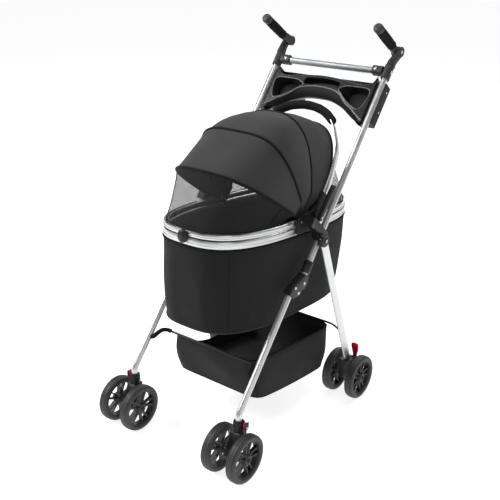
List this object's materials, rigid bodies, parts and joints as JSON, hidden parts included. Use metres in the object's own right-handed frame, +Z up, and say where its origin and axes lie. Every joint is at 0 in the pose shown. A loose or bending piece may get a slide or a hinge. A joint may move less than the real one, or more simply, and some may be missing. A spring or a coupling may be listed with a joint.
{
  "type": "pet stroller",
  "caption": "Folding tube-frame pet stroller with lift-off hooded mesh-window carrier, cup tray, grips, under-basket, twin swivel front and braked rear wheels.",
  "frame": {"origin": "centre of the footprint on the floor", "axes": "+Z up, +Y towards the pushing person, the stroller's front faces -Y, +X to the right seen from the front"},
  "size_m": [0.5316, 0.8172, 1.0428],
  "materials": {
    "alu": "satin anodised",
    "steel": "brushed",
    "black_plastic": "fine moulded",
    "gloss_black": "gloss moulded",
    "black_wire": "black powder coat",
    "rubber": "ribbed",
    "wheel": "moulded",
    "red_plastic": "moulded",
    "black_fabric": "woven",
    "grey_fabric": "woven",
    "mesh_fabric": "open mesh",
    "pad": "padded"
  },
  "bodies": {
    "upper_frame": {"handle_tube_l": "alu", "handle_tube_r": "alu", "tube_head_l": "black_plastic", "tube_head_r": "black_plastic", "crossbar": "alu", "parent_tray": "gloss_black", "hub_l": "black_plastic", "hub_r": "black_plastic", "grip_arm_l": "black_plastic", "grip_arm_r": "black_plastic"},
    "front_legs": {"front_leg_l": "alu", "front_leg_r": "alu", "front_wire": "black_wire", "fold_bracket_l": "black_plastic", "fold_bracket_r": "black_plastic", "caster_socket_l": "black_plastic", "caster_socket_r": "black_plastic", "under_basket": "black_fabric"},
    "rear_legs": {"rear_leg_l": "alu", "rear_leg_r": "alu", "rear_wire": "black_wire", "wheel_housing_l": "black_plastic", "wheel_housing_r": "black_plastic"},
    "carrier": {"lower_rail": "alu", "upper_rail": "alu", "bag": "black_fabric", "floor_pad": "pad", "side_bracket_l": "black_plastic", "side_bracket_r": "black_plastic", "bow_4": "black_wire", "rear_window": "mesh_fabric", "hood_back": "grey_fabric"},
    "bow_3_body": {"bow_3": "black_wire", "hood_middle": "grey_fabric"},
    "bow_2_body": {"bow_2": "black_wire", "hood_front": "grey_fabric"},
    "bow_1_body": {"bow_1": "black_wire", "front_window": "mesh_fabric"},
    "carry_handle_body": {"carry_handle": "steel"},
    "front_latch_body": {"front_latch": "black_plastic"},
    "fold_sleeve_l_body": {"fold_sleeve_l": "black_plastic"},
    "carrier_release_l_body": {"carrier_release_l": "black_plastic"},
    "hand_grip_l_body": {"hand_grip_l": "rubber"},
    "caster_l_body": {"caster_fork_l": "black_plastic"},
    "swivel_lock_l_body": {"swivel_lock_l": "red_plastic"},
    "brake_lever_l_body": {"brake_lever_l": "red_plastic"},
    "front_wheel_l_inner_body": {"front_wheel_l_inner": "wheel"},
    "rear_wheel_l_inner_body": {"rear_wheel_l_inner": "wheel"},
    "front_wheel_l_outer_body": {"front_wheel_l_outer": "wheel"},
    "rear_wheel_l_outer_body": {"rear_wheel_l_outer": "wheel"},
    "fold_sleeve_r_body": {"fold_sleeve_r": "black_plastic"},
    "carrier_release_r_body": {"carrier_release_r": "black_plastic"},
    "hand_grip_r_body": {"hand_grip_r": "rubber"},
    "caster_r_body": {"caster_fork_r": "black_plastic"},
    "swivel_lock_r_body": {"swivel_lock_r": "red_plastic"},
    "brake_lever_r_body": {"brake_lever_r": "red_plastic"},
    "front_wheel_r_inner_body": {"front_wheel_r_inner": "wheel"},
    "rear_wheel_r_inner_body": {"rear_wheel_r_inner": "wheel"},
    "front_wheel_r_outer_body": {"front_wheel_r_outer": "wheel"},
    "rear_wheel_r_outer_body": {"rear_wheel_r_outer": "wheel"}
  },
  "joints": [
    {"name": "frame_fold", "type": "hinge", "parent": "upper_frame", "child": "front_legs", "pos_m": [0, -0.0547, 0.42362], "axis": [1, 0, 0], "range_deg": [0, 138], "deforming": ["under_basket"]},
    {"name": "rear_leg_fold", "type": "hinge", "parent": "upper_frame", "child": "rear_legs", "pos_m": [0, 0.0174, 0.5225], "axis": [1, 0, 0], "range_deg": [0, 104]},
    {"name": "carrier_lift", "type": "slide", "parent": "upper_frame", "child": "carrier", "axis": [0, -0.7716, 0.6361], "range_m": [0, 0.2505]},
    {"name": "fold_sleeve_l_slide", "type": "slide", "parent": "upper_frame", "child": "fold_sleeve_l_body", "axis": [0, 0.6361, 0.7716], "range_m": [0, 0.0135]},
    {"name": "carrier_release_l_turn", "type": "hinge", "parent": "upper_frame", "child": "carrier_release_l_body", "pos_m": [-0.181, 0.02375, 0.57538], "axis": [1, 0, 0], "range_deg": [0, 18]},
    {"name": "hand_grip_l_turn", "type": "hinge", "parent": "upper_frame", "child": "hand_grip_l_body", "pos_m": [-0.181, 0.3944, 0.9545], "axis": [1, 0, 0], "range_deg": [-110, 0]},
    {"name": "caster_l_swivel", "type": "hinge", "parent": "front_legs", "child": "caster_l_body", "pos_m": [-0.182, -0.3166, 0.125], "axis": [0, 0, 1], "continuous": true},
    {"name": "swivel_lock_l_turn", "type": "hinge", "parent": "front_legs", "child": "swivel_lock_l_body", "pos_m": [-0.2003, -0.3146, 0.1285], "axis": [1, 0, 0], "range_deg": [0, 30]},
    {"name": "brake_lever_l_turn", "type": "hinge", "parent": "rear_legs", "child": "brake_lever_l_body", "pos_m": [-0.2143, 0.1844, 0.0935], "axis": [1, 0, 0], "range_deg": [-20, 0]},
    {"name": "front_wheel_l_inner_spin", "type": "hinge", "parent": "caster_l_body", "child": "front_wheel_l_inner_body", "pos_m": [-0.1424, -0.3446, 0.064], "axis": [1, 0, 0], "continuous": true},
    {"name": "rear_wheel_l_inner_spin", "type": "hinge", "parent": "rear_legs", "child": "rear_wheel_l_inner_body", "pos_m": [-0.1768, 0.1554, 0.064], "axis": [1, 0, 0], "continuous": true},
    {"name": "front_wheel_l_outer_spin", "type": "hinge", "parent": "caster_l_body", "child": "front_wheel_l_outer_body", "pos_m": [-0.2216, -0.3446, 0.064], "axis": [1, 0, 0], "continuous": true},
    {"name": "rear_wheel_l_outer_spin", "type": "hinge", "parent": "rear_legs", "child": "rear_wheel_l_outer_body", "pos_m": [-0.2518, 0.1554, 0.064], "axis": [1, 0, 0], "continuous": true},
    {"name": "fold_sleeve_r_slide", "type": "slide", "parent": "upper_frame", "child": "fold_sleeve_r_body", "axis": [0, 0.6361, 0.7716], "range_m": [0, 0.0135]},
    {"name": "carrier_release_r_turn", "type": "hinge", "parent": "upper_frame", "child": "carrier_release_r_body", "pos_m": [0.181, 0.02375, 0.57538], "axis": [1, 0, 0], "range_deg": [0, 18]},
    {"name": "hand_grip_r_turn", "type": "hinge", "parent": "upper_frame", "child": "hand_grip_r_body", "pos_m": [0.181, 0.3944, 0.9545], "axis": [1, 0, 0], "range_deg": [-110, 0]},
    {"name": "caster_r_swivel", "type": "hinge", "parent": "front_legs", "child": "caster_r_body", "pos_m": [0.182, -0.3166, 0.125], "axis": [0, 0, 1], "continuous": true},
    {"name": "swivel_lock_r_turn", "type": "hinge", "parent": "front_legs", "child": "swivel_lock_r_body", "pos_m": [0.2003, -0.3146, 0.1285], "axis": [1, 0, 0], "range_deg": [0, 30]},
    {"name": "brake_lever_r_turn", "type": "hinge", "parent": "rear_legs", "child": "brake_lever_r_body", "pos_m": [0.2143, 0.1844, 0.0935], "axis": [1, 0, 0], "range_deg": [-20, 0]},
    {"name": "front_wheel_r_inner_spin", "type": "hinge", "parent": "caster_r_body", "child": "front_wheel_r_inner_body", "pos_m": [0.1424, -0.3446, 0.064], "axis": [1, 0, 0], "continuous": true},
    {"name": "rear_wheel_r_inner_spin", "type": "hinge", "parent": "rear_legs", "child": "rear_wheel_r_inner_body", "pos_m": [0.1768, 0.1554, 0.064], "axis": [1, 0, 0], "continuous": true},
    {"name": "front_wheel_r_outer_spin", "type": "hinge", "parent": "caster_r_body", "child": "front_wheel_r_outer_body", "pos_m": [0.2216, -0.3446, 0.064], "axis": [1, 0, 0], "continuous": true},
    {"name": "rear_wheel_r_outer_spin", "type": "hinge", "parent": "rear_legs", "child": "rear_wheel_r_outer_body", "pos_m": [0.2518, 0.1554, 0.064], "axis": [1, 0, 0], "continuous": true},
    {"name": "hood_fold", "type": "hinge", "parent": "carrier", "child": "bow_3_body", "pos_m": [0, 0.0154, 0.555], "axis": [1, 0, 0], "range_deg": [-29.16, 0], "deforming": ["hood_back", "hood_middle"]},
    {"name": "bow_2_fold", "type": "hinge", "parent": "bow_3_body", "child": "bow_2_body", "pos_m": [0, 0.0154, 0.555], "axis": [1, 0, 0], "range_deg": [-28.38, 0], "deforming": ["hood_front"]},
    {"name": "bow_1_fold", "type": "hinge", "parent": "bow_2_body", "child": "bow_1_body", "pos_m": [0, 0.0154, 0.555], "axis": [1, 0, 0], "range_deg": [-23.3, 0], "deforming": ["front_window"]},
    {"name": "carry_handle_turn", "type": "hinge", "parent": "carrier", "child": "carry_handle_body", "pos_m": [0, 0.0404, 0.58], "axis": [1, 0, 0], "range_deg": [0, 40]},
    {"name": "front_latch_turn", "type": "hinge", "parent": "carrier", "child": "front_latch_body", "pos_m": [0, -0.30297, 0.58768], "axis": [0, 0.9957, -0.0924], "range_deg": [0, 90]}
  ],
  "couplings": [
    {"joint": "rear_leg_fold", "follows": "frame_fold", "ratio": 0.69},
    {"joint": "carrier_lift", "follows": "frame_fold", "m_per_rad": 0.09549},
    {"joint": "bow_2_fold", "follows": "hood_fold", "ratio": 0.9699},
    {"joint": "bow_1_fold", "follows": "hood_fold", "ratio": 0.7957}
  ]
}
